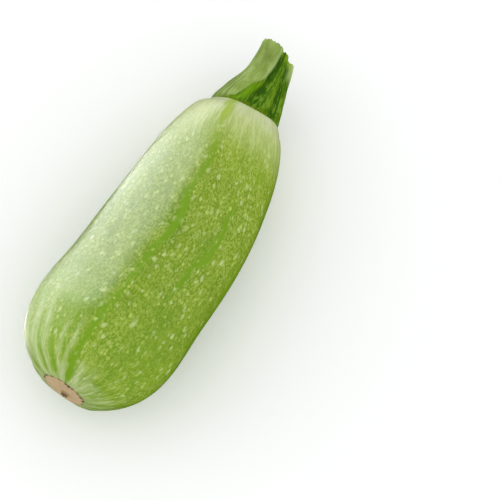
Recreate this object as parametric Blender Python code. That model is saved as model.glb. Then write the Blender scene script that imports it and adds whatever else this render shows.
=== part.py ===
"""A whole pale green summer squash with its cut stem, lying on its belly.

Metres, Z up, floor at z = 0. The body runs along X with the stem at the +X end.
It bows a little towards -Y, and the stem end hangs slightly lower.
Fruit, stem and blossom scar are rings of points round one bowed centre line.
An angle round the body is measured from straight up, turning towards -Y.
"""

import math

import bmesh
import bpy
import numpy as np

# Body
BODY_LENGTH = 0.1551
BODY_RADIUS = 0.0363
BODY_PROFILE = (
    (0.000, 0.305),
    (0.005, 0.420),
    (0.020, 0.548),
    (0.052, 0.707),
    (0.100, 0.858),
    (0.160, 0.956),
    (0.250, 0.993),
    (0.360, 0.966),
    (0.500, 0.952),
    (0.640, 0.918),
    (0.760, 0.854),
    (0.860, 0.779),
    (0.935, 0.678),
    (0.975, 0.588),
    (1.000, 0.476),
)
BOW_DEPTH = 0.0042
BOW_RISE = 2.0
BOW_FALL = 1.3
SHOULDER_SHIFT = 0.0004
PITCH = math.radians(2.2)
SEAT_TILT = math.radians(6.5)

# Ridges along the body
RIDGE_ANGLE = math.radians(-2.0)
RIDGE_TWIST = math.radians(-17.0)
FIVE_SIDES = 0.021
TEN_RIBS = 0.003

# Place of the blossom end, so that the whole stands over the origin
START = (-0.0956, 0.0018, 0.03625)

# Blossom scar and its recess
RECESS_RADIUS = 0.0105
RECESS_DEPTH = 0.0016
SCAR_RADIUS = 0.0103
SCAR_RISE = 0.0005
SCAR_NUB_RADIUS = 0.0022
SCAR_NUB_RISE = 0.0009

# Stem
GAP = 0.0003
STEM_LEAN = math.radians(2.2)
STEM_BEND = 0.0032
STEM_PROFILE = (
    (0.0000, 0.0169),
    (0.0016, 0.0168),
    (0.0050, 0.0157),
    (0.0084, 0.0144),
    (0.0130, 0.0129),
    (0.0168, 0.0118),
    (0.0206, 0.0107),
    (0.0250, 0.0100),
    (0.0294, 0.0094),
    (0.0335, 0.0088),
    (0.0380, 0.0083),
)
STEM_RIDGES = (
    (-98, 0.11, 17),
    (-58, 0.10, 18),
    (-22, 0.13, 17),
    (30, 0.11, 11),
    (74, 0.13, 14),
    (122, 0.12, 17),
    (166, 0.11, 15),
    (212, 0.12, 17),
)
STEM_CUT = (
    (-150, 0.0355),
    (-96, 0.0368),
    (-40, 0.0370),
    (14, 0.0364),
    (19, 0.0345),
    (40, 0.0342),
    (50, 0.0322),
    (64, 0.0324),
    (88, 0.0335),
    (130, 0.0334),
    (172, 0.0344),
)
STEM_DISH = 0.0012

# Mesh density
BODY_RINGS = 38
BODY_SIDES = 60
STEM_RINGS = 13
STEM_SIDES = 72
SCAR_SIDES = 40


def clear_scene():
    for thing in list(bpy.data.objects):
        bpy.data.objects.remove(thing, do_unlink=True)


def spline(knots, values, at):
    """Natural cubic curve through the knots, read at the given places."""
    count = len(knots)
    step = np.diff(knots)
    slope = np.diff(values) / step
    rows = np.zeros((count, count))
    known = np.zeros(count)
    rows[0, 0] = 1.0
    rows[-1, -1] = 1.0
    for row in range(1, count - 1):
        rows[row, row - 1] = step[row - 1]
        rows[row, row] = 2.0 * (step[row - 1] + step[row])
        rows[row, row + 1] = step[row]
        known[row] = 6.0 * (slope[row] - slope[row - 1])
    bend = np.linalg.solve(rows, known)
    span = np.clip(np.searchsorted(knots, at) - 1, 0, count - 2)
    before = at - knots[span]
    after = knots[span + 1] - at
    width = step[span]
    cubic = (bend[span] * after**3 + bend[span + 1] * before**3) / (6.0 * width)
    left = (values[span] / width - bend[span] * width / 6.0) * after
    right = (values[span + 1] / width - bend[span + 1] * width / 6.0) * before
    return cubic + left + right


def body_outline(share):
    """Distance from the blossom end and radius, at shares of the outline's length."""
    stations = np.array(BODY_PROFILE) * (BODY_LENGTH, BODY_RADIUS)
    hops = np.linalg.norm(np.diff(stations, axis=0), axis=1)
    travel = np.concatenate([[0.0], np.cumsum(hops)])
    travel = travel / travel[-1]
    along = spline(travel, stations[:, 0], share)
    radius = spline(travel, stations[:, 1], share)
    return along, radius


def smooth_step(value, low, high):
    """0 below low, 1 above high, and 3t^2 - 2t^3 between them."""
    t = np.clip((value - low) / (high - low), 0.0, 1.0)
    return t * t * (3.0 - 2.0 * t)


def centre_line(along):
    """Bowed centre line, whose shoulder by the stem lies a little towards +Y."""
    share = np.clip(along / BODY_LENGTH, 1e-9, 1.0 - 1e-9)
    peak = BOW_RISE / (BOW_RISE + BOW_FALL)
    rise = (share / peak) ** BOW_RISE
    fall = ((1.0 - share) / (1.0 - peak)) ** BOW_FALL
    shoulder = smooth_step(share, 0.55, 0.78)
    x = START[0] + along * math.cos(PITCH)
    y = START[1] - BOW_DEPTH * rise * fall + SHOULDER_SHIFT * shoulder
    z = START[2] - along * math.sin(PITCH)
    return np.stack([x, y, z], -1)


def directions(along):
    """Forward, sideways (towards -Y) and upward directions of the centre line."""
    reach = 1e-5
    forward = centre_line(along + reach) - centre_line(along - reach)
    forward = forward / np.linalg.norm(forward, axis=-1, keepdims=True)
    side = np.cross(forward, (0.0, 0.0, 1.0))
    side = side / np.linalg.norm(side, axis=-1, keepdims=True)
    up = np.cross(side, forward)
    return forward, side, up


def around(count):
    return np.arange(count) * (2.0 * math.pi / count)


def body_rings(travel, angle):
    """Rings of the body: radius x (1 + five sides + ten ribs), seat end tilted."""
    along, radius = body_outline(travel)
    forward, side, up = directions(along)
    share = np.clip(along / BODY_LENGTH, 0.0, 1.0)
    twist = RIDGE_TWIST * np.clip((share - 0.62) / 0.38, 0.0, 1.0) ** 1.4
    turn = angle[None, :] - RIDGE_ANGLE - twist[:, None]
    shape = 1.0 + FIVE_SIDES * np.cos(5.0 * turn) + TEN_RIBS * np.cos(10.0 * turn)
    reach = radius[:, None] * shape
    near_seat = smooth_step(share, 0.975, 1.0)
    sideways = reach * np.sin(angle)
    upward = reach * np.cos(angle)
    forwards = math.tan(SEAT_TILT) * near_seat[:, None] * sideways
    rings = centre_line(along)[:, None, :] + forwards[..., None] * forward[:, None, :]
    rings = rings + sideways[..., None] * side[:, None, :]
    return rings + upward[..., None] * up[:, None, :]


def end_point(end, forwards, reach, angle):
    """Points set off from one end of the centre line, in that end's directions."""
    place = np.array([end])
    forward, side, up = [way[0] for way in directions(place)]
    sideways = reach * np.sin(angle)
    upward = reach * np.cos(angle)
    point = centre_line(place)[0] + np.multiply.outer(forwards, forward)
    return point + np.multiply.outer(sideways, side) + np.multiply.outer(upward, up)


def closed_skin(name, rings, first_tip, last_tip):
    """One closed body: quads between rings and a fan of triangles at each end."""
    shape = bmesh.new()
    loops = [[shape.verts.new(point) for point in ring] for ring in rings]
    count = len(loops[0])
    for near, far in zip(loops, loops[1:]):
        for a in range(count):
            b = (a + 1) % count
            shape.faces.new((near[a], near[b], far[b], far[a]))
    for loop, tip in ((loops[0], first_tip), (loops[-1], last_tip)):
        middle = shape.verts.new(tip)
        for a in range(count):
            b = (a + 1) % count
            shape.faces.new((loop[a], loop[b], middle))
    bmesh.ops.recalc_face_normals(shape, faces=shape.faces[:])
    return name, shape


def add_object(name, shape, material):
    mesh = bpy.data.meshes.new(name)
    shape.to_mesh(mesh)
    shape.free()
    mesh.shade_smooth()
    mesh.set_sharp_from_angle(angle=math.radians(50.0))
    mesh.materials.append(material)
    thing = bpy.data.objects.new(name, mesh)
    bpy.context.scene.collection.objects.link(thing)
    return thing


def make_material(name, colour, roughness):
    material = bpy.data.materials.new(name)
    material.use_nodes = True
    surface = material.node_tree.nodes["Principled BSDF"]
    surface.inputs["Base Color"].default_value = (*colour, 1.0)
    surface.inputs["Roughness"].default_value = roughness
    surface.inputs["Metallic"].default_value = 0.0
    material.diffuse_color = (*colour, 1.0)
    return material


def make_fruit(material):
    """The body with a shallow recess at the blossom end and a flat spot below."""
    angle = around(BODY_SIDES)
    level = np.linspace(0.0, 1.0, BODY_RINGS)
    share = level - 0.035 * np.sin(2.0 * math.pi * level)
    rings = list(body_rings(share, angle))
    floor_ring = end_point(0.0, RECESS_DEPTH, RECESS_RADIUS * np.ones(BODY_SIDES), angle)
    rings.insert(0, floor_ring)
    first_tip = end_point(0.0, RECESS_DEPTH, np.zeros(1), np.zeros(1))[0]
    last_tip = centre_line(np.array([BODY_LENGTH]))[0]
    name, shape = closed_skin("fruit", rings, first_tip, last_tip)
    whole = shape.verts[:] + shape.edges[:] + shape.faces[:]
    bmesh.ops.bisect_plane(
        shape,
        geom=whole,
        dist=1e-6,
        plane_co=(0.0, 0.0, 0.0),
        plane_no=(0.0, 0.0, 1.0),
        clear_inner=True,
    )
    rim = [edge for edge in shape.edges if edge.is_boundary]
    bmesh.ops.edgeloop_fill(shape, edges=rim)
    bmesh.ops.recalc_face_normals(shape, faces=shape.faces[:])
    return add_object(name, shape, material)


def stem_ridges(angle):
    """Sum of rounded ridges: height x exp(-(angle from the ridge / width)^2)."""
    total = np.zeros_like(angle)
    for place, height, width in STEM_RIDGES:
        away = np.degrees(angle) - place
        away = (away + 180.0) % 360.0 - 180.0
        total = total + height * np.exp(-((away / width) ** 2))
    return total


def stem_cut_height(angle):
    """Height of the uneven cut round the stem, straight between the named places."""
    places = np.array([place for place, _ in STEM_CUT], float)
    heights = np.array([height for _, height in STEM_CUT])
    turned = (np.degrees(angle) + 180.0) % 360.0 - 180.0
    return np.interp(turned, places, heights, period=360.0)


def stem_points(height, reach, angle):
    """Points round the stem's leaning, slightly curved line, flush with its seat."""
    forward, side, up = [way[0] for way in directions(np.array([BODY_LENGTH]))]
    lean = math.tan(STEM_LEAN) * height - STEM_BEND * (height / 0.034) ** 3
    settle = np.clip(1.0 - height / 0.012, 0.0, 1.0)
    sideways = reach * np.sin(angle)
    upward = reach * np.cos(angle)
    forwards = GAP + height + math.tan(SEAT_TILT) * (settle * sideways + lean)
    point = centre_line(np.array([BODY_LENGTH]))[0]
    point = point + forwards[..., None] * forward
    point = point + (sideways + lean)[..., None] * side
    return point + upward[..., None] * up


def make_stem(material):
    """Flared, ridged stem whose uneven end is slightly dished."""
    angle = around(STEM_SIDES)
    knots = np.array([place for place, _ in STEM_PROFILE])
    radii = np.array([radius for _, radius in STEM_PROFILE])
    ridges = stem_ridges(angle)
    top = stem_cut_height(angle)
    rings = []
    for level in np.linspace(0.0, 1.0, STEM_RINGS) ** 1.25:
        height = level * top
        strength = np.clip(0.25 + height / 0.012, 0.0, 1.0)
        reach = spline(knots, radii, height) * (0.965 + strength * (ridges - 0.02))
        rings.append(stem_points(height, reach, angle))
    inner = top - 0.6 * STEM_DISH
    rings.append(stem_points(inner, 0.55 * reach, angle))
    middle = np.array([np.mean(top) - STEM_DISH])
    last_tip = stem_points(middle, np.zeros(1), np.zeros(1))[0]
    first_tip = stem_points(np.zeros(1), np.zeros(1), np.zeros(1))[0]
    name, shape = closed_skin("stem", rings, first_tip, last_tip)
    return add_object(name, shape, material)


def make_scar(material):
    """Thin corky disc in the recess, with a small nub in its middle."""
    angle = around(SCAR_SIDES)
    under = RECESS_DEPTH - GAP
    levels = (
        (under, SCAR_RADIUS - 0.0003),
        (0.0003, SCAR_RADIUS),
        (-SCAR_RISE, 0.90 * SCAR_RADIUS),
        (-0.6 * SCAR_RISE, 0.60 * SCAR_RADIUS),
        (0.0, SCAR_NUB_RADIUS),
        (-SCAR_NUB_RISE, 0.5 * SCAR_NUB_RADIUS),
    )
    rings = [end_point(0.0, at, r * np.ones(SCAR_SIDES), angle) for at, r in levels]
    first_tip = end_point(0.0, under, np.zeros(1), np.zeros(1))[0]
    last_tip = end_point(0.0, -SCAR_NUB_RISE, np.zeros(1), np.zeros(1))[0]
    name, shape = closed_skin("blossom_scar", rings, first_tip, last_tip)
    return add_object(name, shape, material)


clear_scene()
make_fruit(make_material("skin", (0.42, 0.55, 0.21), 0.38))
make_stem(make_material("stem_green", (0.10, 0.18, 0.035), 0.60))
make_scar(make_material("cork", (0.45, 0.33, 0.18), 0.80))
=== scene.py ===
"""Whole pale green summer squash with its cut stem, lying on a pale floor.

Metres, Z up, floor at z = 0. The long axis runs along X with the stem at +X.
An angle round the body is measured from straight up, turning towards -Y.
Every piece is a stack of rings worked out with numpy round one bowed centre line.
"""

import math

import bpy
import numpy as np
from mathutils import Matrix, Vector


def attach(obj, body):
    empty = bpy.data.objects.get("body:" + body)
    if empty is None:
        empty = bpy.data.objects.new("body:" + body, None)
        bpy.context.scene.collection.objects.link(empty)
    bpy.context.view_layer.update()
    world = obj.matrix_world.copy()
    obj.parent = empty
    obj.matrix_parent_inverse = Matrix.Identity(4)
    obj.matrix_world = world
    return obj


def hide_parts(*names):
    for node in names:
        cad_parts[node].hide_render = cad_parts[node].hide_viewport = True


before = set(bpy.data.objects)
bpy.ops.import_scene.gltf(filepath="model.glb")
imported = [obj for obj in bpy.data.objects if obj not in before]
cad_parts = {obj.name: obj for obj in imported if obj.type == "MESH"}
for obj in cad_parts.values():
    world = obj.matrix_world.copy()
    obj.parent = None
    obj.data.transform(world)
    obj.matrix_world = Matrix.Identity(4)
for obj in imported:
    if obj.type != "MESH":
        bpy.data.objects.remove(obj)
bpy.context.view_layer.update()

# Body. The profile gives shares of the length and of the radius
BODY_LENGTH = 0.1551
BODY_RADIUS = 0.0363
BODY_PROFILE = (
    (0.000, 0.305),
    (0.005, 0.420),
    (0.020, 0.548),
    (0.052, 0.707),
    (0.100, 0.858),
    (0.160, 0.956),
    (0.250, 0.993),
    (0.360, 0.966),
    (0.500, 0.952),
    (0.640, 0.918),
    (0.760, 0.854),
    (0.860, 0.779),
    (0.935, 0.678),
    (0.975, 0.588),
    (1.000, 0.476),
)
BOW_DEPTH = 0.0042
BOW_RISE = 2.0
BOW_FALL = 1.3
SHOULDER_SHIFT = 0.0004
PITCH = math.radians(2.2)
SEAT_TILT = math.radians(6.5)
START = (-0.0956, 0.0018, 0.03625)
BODY_MIDDLE = 0.0777
RIDGE_ANGLE = math.radians(-2.0)
RIDGE_TWIST = math.radians(-17.0)
FIVE_SIDES = 0.021
TEN_RIBS = 0.003
SEAM_DEPTH = 0.001
RECESS_RADIUS = 0.0105
RECESS_DEPTH = 0.0016
SKIN_FLOW_LENGTH = 0.19

# The blossom end slants by these slopes, from its lower rim, over this share of the body
END_PITCH = math.tan(math.radians(5.5))
END_YAW = -0.045
END_RIM = 0.0112
END_RIM_SOFTNESS = 0.003
END_YAW_REACH = 0.012
END_SHARE = 0.065

# Slow swells of the body: size, turns, rate, start
BODY_SWELLS = (
    (0.0035, 3, 41.0, 0.4),
    (0.0025, 4, -67.0, 2.1),
    (0.0018, 7, 95.0, 1.2),
    (0.0012, 11, -150.0, 0.3),
    (0.0009, 17, 120.0, 4.0),
)

# Stem. The profile gives heights and radii
STEM_FOOT_GAP = 0.0002
STEM_LEAN = math.radians(2.2)
RIDGE_FAN = 20.0
STEM_BEND = 0.0032
STEM_BEND_HEIGHT = 0.034
STEM_FOOT_HEIGHT = 0.012
STEM_SHRINK = 0.965
STEM_FLOW_RADIUS = 0.011
STEM_FLOW_TOP = 0.036
CUT_DISH = 0.0012
CUT_RIPPLE = 0.00015
CUT_SHARES = (0.97, 0.9, 0.8, 0.68, 0.55, 0.42, 0.3, 0.2, 0.1)
STEM_PROFILE = (
    (0.0000, 0.0169),
    (0.0016, 0.0168),
    (0.0050, 0.0157),
    (0.0084, 0.0144),
    (0.0130, 0.0129),
    (0.0168, 0.0118),
    (0.0206, 0.0107),
    (0.0250, 0.0100),
    (0.0294, 0.0094),
    (0.0335, 0.0088),
    (0.0380, 0.0083),
)

# Ridges of the stem: angle, size as a share of the radius, half width in degrees
STEM_RIDGES = (
    (-98, 0.11, 17),
    (-58, 0.10, 18),
    (-22, 0.13, 17),
    (30, 0.11, 11),
    (74, 0.13, 14),
    (122, 0.12, 17),
    (166, 0.11, 15),
    (212, 0.12, 17),
)

# Uneven cut of the stem: angle, height
STEM_CUT = (
    (-150, 0.0355),
    (-96, 0.0368),
    (-40, 0.0370),
    (14, 0.0364),
    (19, 0.0345),
    (40, 0.0342),
    (50, 0.0322),
    (64, 0.0324),
    (88, 0.0335),
    (130, 0.0334),
    (172, 0.0344),
)

# Small teeth of the cut, then fine fibres down the stem: size, turns, rate, start
CUT_TEETH = (
    (0.00025, 11.0, 0.0, 0.7),
    (0.00018, 26.0, 0.0, 1.9),
    (0.00012, 43.0, 0.0, 0.0),
)
STEM_FIBRES = (
    (0.0080, 26, 30.0, 0.2),
    (0.0070, 37, -55.0, 1.4),
    (0.0060, 53, 40.0, 2.2),
    (0.0050, 71, -35.0, 0.9),
)

# Edge of the stem's pale lobe, then the groove right of it, which is painted dark as shade: height,
# degrees
LOBE_EDGE = (
    (0.000, -40.0),
    (0.003, -24.0),
    (0.011, -15.0),
    (0.017, 2.0),
    (0.025, 9.0),
    (0.034, 16.0),
)
STEM_GROOVE = (
    (0.002, 1.0),
    (0.010, 5.0),
    (0.018, 10.0),
    (0.034, 24.0),
)

# Dark lines near the foot of the lobe, painted shade for the valleys between fine ridges: angle,
# half width in degrees
LOBE_LINES = (
    (-41.0, 2.6),
    (-54.0, 2.2),
    (-67.0, 2.6),
    (-82.0, 3.0),
)

# Scar: a domed disc with a torn nub that stands off its middle
SCAR_RADIUS = 0.0114
SCAR_BASE_RADIUS = 0.0100
SCAR_BASE_GAP = 0.0002
SCAR_DOME = 0.0011
SCAR_EDGE_DIP = 0.0009
NUB_ACROSS = 0.0013
NUB_HEIGHT = 0.0011
NUB_WIDTH = 0.0022
NUB_LENGTH = 0.0016
PIT_DEPTH = 0.0004
NUB_SPOT = (0.0023, 0.0020)

# Uneven edge of the scar, then wrinkles of its face: size, turns, rate, start
SCAR_EDGE_WAVES = (
    (0.010, 5, 0, 0.3),
    (0.010, 11, 0, 1.0),
    (0.008, 19, 0, 2.0),
)
SCAR_WRINKLES = (
    (0.00006, 13, 9.0, 0.0),
    (0.00005, 22, -17.0, 1.0),
    (0.00004, 31, 40.0, 2.0),
)

# Stripes: angle, half width in degrees, strength at shares of the length
STRIPES = (
    (-1.5, 3.0, ((0, 1.1), (0.12, 0.9), (0.2, 1.0), (0.3, 0.65), (0.42, 0.65), (0.48, 0.95),
                 (0.56, 1.2), (0.64, 1.15), (0.69, 0.85), (0.78, 0.65), (0.86, 0.85), (0.93, 0.9),
                 (1, 1.0))),
    (36.5, 3.9, ((0, 0.4), (0.1, 0.2), (0.3, 0.15), (0.44, 0.3), (0.5, 0.8), (0.56, 0.9),
                 (0.64, 0.75), (0.74, 0.3), (0.9, 0.1), (1, 0.4))),
    (31.5, 5.0, ((0, 0.2), (0.1, 0.1), (0.34, 0.2), (0.42, 0.65), (0.48, 0.75), (0.53, 0.45),
                 (0.60, 0.0), (1, 0.1))),
    (52.0, 3.0, ((0, 0.4), (0.1, 0.3), (0.2, 0.0), (0.74, 0.0), (0.8, 0.7), (0.84, 0.4),
                 (0.9, 0.0), (1, 0.2))),
    (84.0, 10.0, ((0, 0.5), (0.1, 0.4), (0.2, 0.7), (0.34, 1.0), (0.5, 1.05), (0.65, 0.95),
                  (0.8, 0.6), (0.9, 0.2), (1, 0.4))),
    (121.0, 3.6, ((0, 0.8), (0.1, 0.7), (0.3, 0.4), (0.5, 0.8), (0.7, 0.5), (1, 0.6))),
    (158.0, 3.2, ((0, 0.8), (0.15, 0.6), (0.35, 0.7), (0.6, 0.3), (0.8, 0.6), (1, 0.7))),
    (195.0, 3.6, ((0, 0.9), (0.2, 0.8), (0.4, 0.5), (0.65, 0.8), (0.85, 0.4), (1, 0.7))),
    (231.0, 3.2, ((0, 0.8), (0.15, 0.8), (0.3, 0.4), (0.5, 0.7), (0.75, 0.6), (1, 0.6))),
    (267.0, 3.8, ((0, 0.9), (0.1, 0.7), (0.3, 0.6), (0.55, 0.3), (0.75, 0.6), (1, 0.7))),
    (-55.0, 3.0, ((0, 0.4), (0.06, 0.5), (0.14, 0.3), (0.4, 0.25), (0.7, 0.2), (1, 0.4))),
    (-31.0, 2.2, ((0, 0.0), (0.06, 0.2), (0.1, 0.7), (0.16, 0.5), (0.22, 0.1), (0.5, 0.15),
                  (1, 0.3))),
    (-16.0, 1.6, ((0, 0.0), (0.05, 0.2), (0.08, 0.7), (0.13, 0.5), (0.2, 0.5), (0.26, 0.0),
                  (1, 0.0))),
)

# Sideways wander of the top stripe: share, degrees
TOP_WANDER = (
    (0.00, 0.0), (0.41, 0.0), (0.45, 0.8), (0.53, 4.3), (0.58, 3.4),
    (0.65, -2.0), (0.72, 1.0), (0.79, 5.5), (0.86, 3.0), (1.00, 1.0),
)

# Seams that run out from the blossom scar: angle at the rim, angle at their far
# end, length as a share of the body, depth in millimetres
SEAMS = (
    (2, -2, 0.15, 0.75),
    (-23, -38, 0.22, 0.62),
    (-42, -54, 0.19, 0.68),
    (-70, -80, 0.14, 0.70),
    (-98, -104, 0.13, 0.60),
    (-122, -126, 0.14, 0.65),
    (-148, -150, 0.12, 0.55),
    (-172, -170, 0.13, 0.70),
    (163, 160, 0.12, 0.60),
    (140, 136, 0.14, 0.60),
    (118, 120, 0.12, 0.65),
    (98, 102, 0.10, 0.50),
    (77, 82, 0.12, 0.50),
    (51, 52, 0.10, 0.40),
    (23, 26, 0.06, 0.25),
)

# Pale rays between the seams: angle near the scar, angle at the far end, shares
# where a ray starts and ends, half width in degrees, strength
RAYS = (
    (13, 8, 0.00, 0.09, 5.0, 0.75),
    (26, 19, 0.00, 0.10, 3.5, 0.45),
    (-9, -10, 0.01, 0.20, 1.8, 0.85),
    (-17, -21, 0.02, 0.18, 2.4, 0.75),
    (-37, -43, 0.00, 0.21, 4.5, 1.00),
    (-53, -56, 0.00, 0.21, 5.0, 1.00),
    (-64, -70, 0.04, 0.24, 3.0, 0.55),
    (-86, -90, 0.00, 0.17, 4.0, 0.55),
    (-110, -114, 0.00, 0.15, 3.5, 0.50),
    (-136, -139, 0.00, 0.18, 4.0, 0.55),
    (-160, -160, 0.00, 0.16, 3.0, 0.45),
    (176, 175, 0.00, 0.18, 3.5, 0.50),
    (151, 148, 0.00, 0.14, 3.5, 0.45),
    (129, 128, 0.00, 0.16, 3.0, 0.45),
    (108, 111, 0.00, 0.12, 3.0, 0.40),
    (64, 68, 0.00, 0.08, 3.0, 0.30),
)

# Calmer areas with fewer speckles: angle, share, half width in degrees, half
# length as a share of the body, strength
CALM_AREAS = (
    (48, 0.22, 26, 0.13, 0.50),
    (82, 0.48, 16, 0.26, 0.75),
    (58, 0.33, 12, 0.09, 0.40),
    (-24, 0.20, 12, 0.08, 0.45),
    (14, 0.44, 9, 0.12, 0.30),
    (150, 0.50, 20, 0.15, 0.40),
    (-120, 0.35, 22, 0.15, 0.45),
    (-165, 0.70, 20, 0.13, 0.40),
)

# Dark spots on the scar's rim: angle, share of the radius, half width in degrees,
# half length as a share of the radius
SCAR_SPOTS = (
    (-84, 0.94, 9.0, 0.08),
    (-64, 0.95, 6.0, 0.07),
    (-40, 0.95, 5.0, 0.06),
    (-18, 0.96, 6.0, 0.05),
    (3, 0.93, 4.0, 0.10),
    (12, 0.88, 6.0, 0.13),
    (24, 0.94, 5.0, 0.08),
    (44, 0.96, 7.0, 0.06),
    (60, 0.92, 7.0, 0.11),
    (80, 0.93, 6.0, 0.09),
    (104, 0.94, 5.0, 0.06),
    (131, 0.93, 4.0, 0.07),
    (160, 0.95, 6.0, 0.05),
    (188, 0.93, 4.0, 0.07),
    (214, 0.94, 5.0, 0.05),
    (243, 0.95, 4.0, 0.06),
    (272, 0.93, 5.0, 0.06),
)

# Colours of the skin, as linear red, green and blue
GROUND_DEEP = (0.115, 0.228, 0.001)
GROUND_LIGHT = (0.170, 0.285, 0.002)
GROUND_WISP = (0.24, 0.37, 0.01)
GROUND_FRESH = (0.190, 0.350, 0.003)
# Paler ground on the lit left side near the blossom end, a painted reflection
GROUND_LIT_SIDE_PALE = (0.270, 0.440, 0.030)
GROUND_RIPE = (0.240, 0.340, 0.006)
GROUND_NECK = (0.27, 0.39, 0.03)
STRIPE_GREEN = (0.172, 0.350, 0.000)
STRIPE_NECK = (0.37, 0.50, 0.045)
SPECKLE = (0.460, 0.580, 0.095)
# Paler speckles for the lit left side, painted light
SPECKLE_LIT_SIDE = (0.490, 0.600, 0.170)
RAY_PALE = (0.52, 0.62, 0.28)
DOT_PALE = (0.52, 0.62, 0.24)
WEDGE_PALE = (0.52, 0.60, 0.31)
SHOULDER_PALE = (0.52, 0.60, 0.25)
COLLAR_PALE = (0.60, 0.64, 0.39)

# Colours of the stem
FLANK_DARK = (0.060, 0.150, 0.001)
FLANK_LIGHT = (0.130, 0.235, 0.005)
# Painted shade in the valleys between the stem's ridges
VALLEY_SHADE_GREEN = (0.028, 0.100, 0.000)
FIBRE_GREEN = (0.035, 0.115, 0.000)
DASH_GREEN = (0.21, 0.37, 0.03)
TIP_GREEN = (0.25, 0.43, 0.006)
TIP_PALE = (0.44, 0.53, 0.21)
HOLLOW_DARK = (0.110, 0.260, 0.000)
HOLLOW_LIGHT = (0.185, 0.345, 0.003)
# The lobe is partly its own paler green and partly painted light, for the side that faces the light
LOBE_GREEN = (0.230, 0.330, 0.060)
LOBE_PALE = (0.370, 0.490, 0.150)
LOBE_THREAD = (0.15, 0.22, 0.025)
LOBE_OLIVE = (0.155, 0.225, 0.035)
# Painted highlight along the lobe's rim
LOBE_RIM_HIGHLIGHT = (0.46, 0.57, 0.26)
# Painted shade for the groove and the lines near the foot
STEM_PAINTED_SHADE = (0.018, 0.066, 0.000)
FOOT_OLIVE = (0.120, 0.200, 0.002)
FOOT_DOT = (0.24, 0.37, 0.04)
PITH_EDGE = (0.33, 0.45, 0.13)
PITH_PALE = (0.66, 0.68, 0.42)
PITH_DOT = (0.30, 0.38, 0.12)
PITH_MIDDLE = (0.42, 0.40, 0.20)

# Colours of the scar and of the floor
CORK_TAN = (0.51, 0.350, 0.170)
CORK_BEIGE = (0.69, 0.505, 0.285)
CORK_GRIT = (0.38, 0.27, 0.130)
CORK_FRECKLE = (0.30, 0.17, 0.060)
CORK_RIM = (0.28, 0.23, 0.075)
CORK_DARK = (0.105, 0.055, 0.012)
FLOOR_PALE = (0.94, 0.94, 0.94)
FLOOR_PALER = (0.96, 0.96, 0.96)

# Mesh density
BODY_RINGS = 232
BODY_SIDES = 400
STEM_RINGS = 130
STEM_SIDES = 420
SCAR_RINGS = 60
SCAR_SIDES = 300

# A point on the axis as two zeros, and a point without marks
AXIS = (np.zeros(1), np.zeros(1))
BARE = (0.0, 0.0, 0.0)


# Shapes
def spline(knots, values, at):
    """Natural cubic curve through the knots, read at the given places."""
    count = len(knots)
    step = np.diff(knots)
    slope = np.diff(values) / step
    rows = np.zeros((count, count))
    known = np.zeros(count)
    rows[0, 0] = 1.0
    rows[-1, -1] = 1.0
    inner = np.arange(1, count - 1)
    rows[inner, inner - 1] = step[:-1]
    rows[inner, inner] = 2.0 * (step[:-1] + step[1:])
    rows[inner, inner + 1] = step[1:]
    known[inner] = 6.0 * np.diff(slope)
    bend = np.linalg.solve(rows, known)
    span = np.clip(np.searchsorted(knots, at) - 1, 0, count - 2)
    before = at - knots[span]
    after = knots[span + 1] - at
    width = step[span]
    cubic = (bend[span] * after**3 + bend[span + 1] * before**3) / (6.0 * width)
    left = (values[span] / width - bend[span] * width / 6.0) * after
    right = (values[span + 1] / width - bend[span + 1] * width / 6.0) * before
    return cubic + left + right


def body_outline(share):
    """Distance from the blossom end and radius, at shares of the outline's length."""
    stations = np.array(BODY_PROFILE) * (BODY_LENGTH, BODY_RADIUS)
    hops = np.linalg.norm(np.diff(stations, axis=0), axis=1)
    travel = np.concatenate([[0.0], np.cumsum(hops)])
    travel = travel / travel[-1]
    along = spline(travel, stations[:, 0], share)
    radius = spline(travel, stations[:, 1], share)
    return along, radius


def centre_line(along):
    """Straight pitched line, bowed towards -Y by share^2 x (1 - share)^1.3.

    The stem's half is shifted a little towards +Y by a smooth step.
    """
    share = np.clip(along / BODY_LENGTH, 1e-9, 1.0 - 1e-9)
    peak = BOW_RISE / (BOW_RISE + BOW_FALL)
    rise = (share / peak) ** BOW_RISE
    fall = ((1.0 - share) / (1.0 - peak)) ** BOW_FALL
    shoulder = smooth_step(share, 0.55, 0.78)
    x = START[0] + along * math.cos(PITCH)
    y = START[1] - BOW_DEPTH * rise * fall + SHOULDER_SHIFT * shoulder
    z = START[2] - along * math.sin(PITCH)
    return threes(x, y, z)


def directions(along):
    """Forward, sideways (towards -Y) and upward directions of the centre line."""
    reach = 1e-5
    forward = centre_line(along + reach) - centre_line(along - reach)
    forward = forward / np.linalg.norm(forward, axis=-1, keepdims=True)
    side = np.cross(forward, (0.0, 0.0, 1.0))
    side = side / np.linalg.norm(side, axis=-1, keepdims=True)
    up = np.cross(side, forward)
    return forward, side, up


def around(count):
    return np.arange(count) * (2.0 * math.pi / count)


def smooth_step(value, low, high):
    """0 below low, 1 above high, and 3t^2 - 2t^3 between them."""
    t = np.clip((value - low) / (high - low), 0.0, 1.0)
    return t * t * (3.0 - 2.0 * t)


def degrees_off(angle, place):
    """Signed degrees from a place on the ring, between -180 and 180."""
    return (np.degrees(angle) - place + 180.0) % 360.0 - 180.0


def bump_at(angle, place, width):
    """Round bump on the ring: exp(-(degrees away / width)^2)."""
    return np.exp(-((degrees_off(angle, place) / width) ** 2))


def between(at, table):
    """Straight-line values between the rows (place, value) of a table."""
    places, values = np.array(table, float).T
    return np.interp(at, places, values)


def waves(angle, along, table):
    """Sum of size x cos(turns x angle + rate x distance + start)."""
    total = 0.0
    for size, turns, rate, start in table:
        total = total + size * np.cos(turns * angle + rate * along + start)
    return total


def ridge_twist(share):
    """The ridges and stripes turn by 17 degrees over the last third of the body."""
    return RIDGE_TWIST * np.clip((share - 0.62) / 0.38, 0.0, 1.0) ** 1.4


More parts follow.
